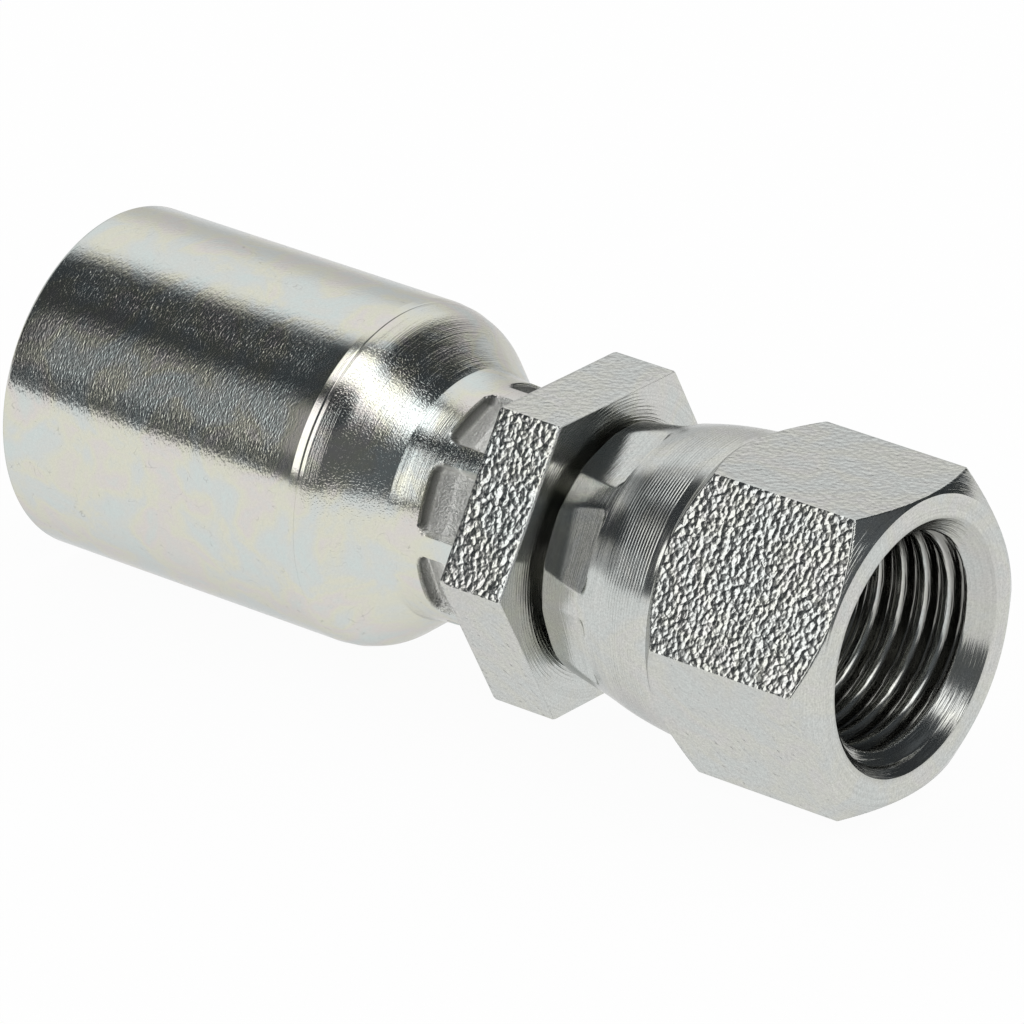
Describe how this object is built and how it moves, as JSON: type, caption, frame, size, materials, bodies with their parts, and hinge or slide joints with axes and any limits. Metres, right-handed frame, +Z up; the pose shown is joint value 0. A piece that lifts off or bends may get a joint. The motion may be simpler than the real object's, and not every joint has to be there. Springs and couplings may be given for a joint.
{
  "type": "crimp hose fitting",
  "caption": "Straight steel crimp hose fitting: a staked shell over a barbed tail, a hexagon, and a hexagonal swivel nut with an internal thread over a coned seat.",
  "frame": {"origin": "centre of the shell's open end, where the hose enters", "axes": "+X along the fitting's axis from the hose end to the nut's front face, +Z up with a flat of the nut facing down"},
  "size_m": [0.0459, 0.0166, 0.0162],
  "materials": {
    "shell": "bright zinc-plated drawn steel with a faint iridescent passivate",
    "stem": "bright zinc-plated turned steel, with coarse as-drawn hexagon flats",
    "nut": "bright zinc-plated turned steel, with coarse as-drawn hexagon flats"
  },
  "bodies": {
    "fitting": {"stem": "stem", "shell": "shell"},
    "nut": {"swivel_nut": "nut"}
  },
  "joints": [
    {"name": "nut_swivel", "type": "hinge", "parent": "fitting", "child": "nut", "pos_m": [0.0377, 0, 0], "axis": [1, 0, 0], "continuous": true}
  ]
}
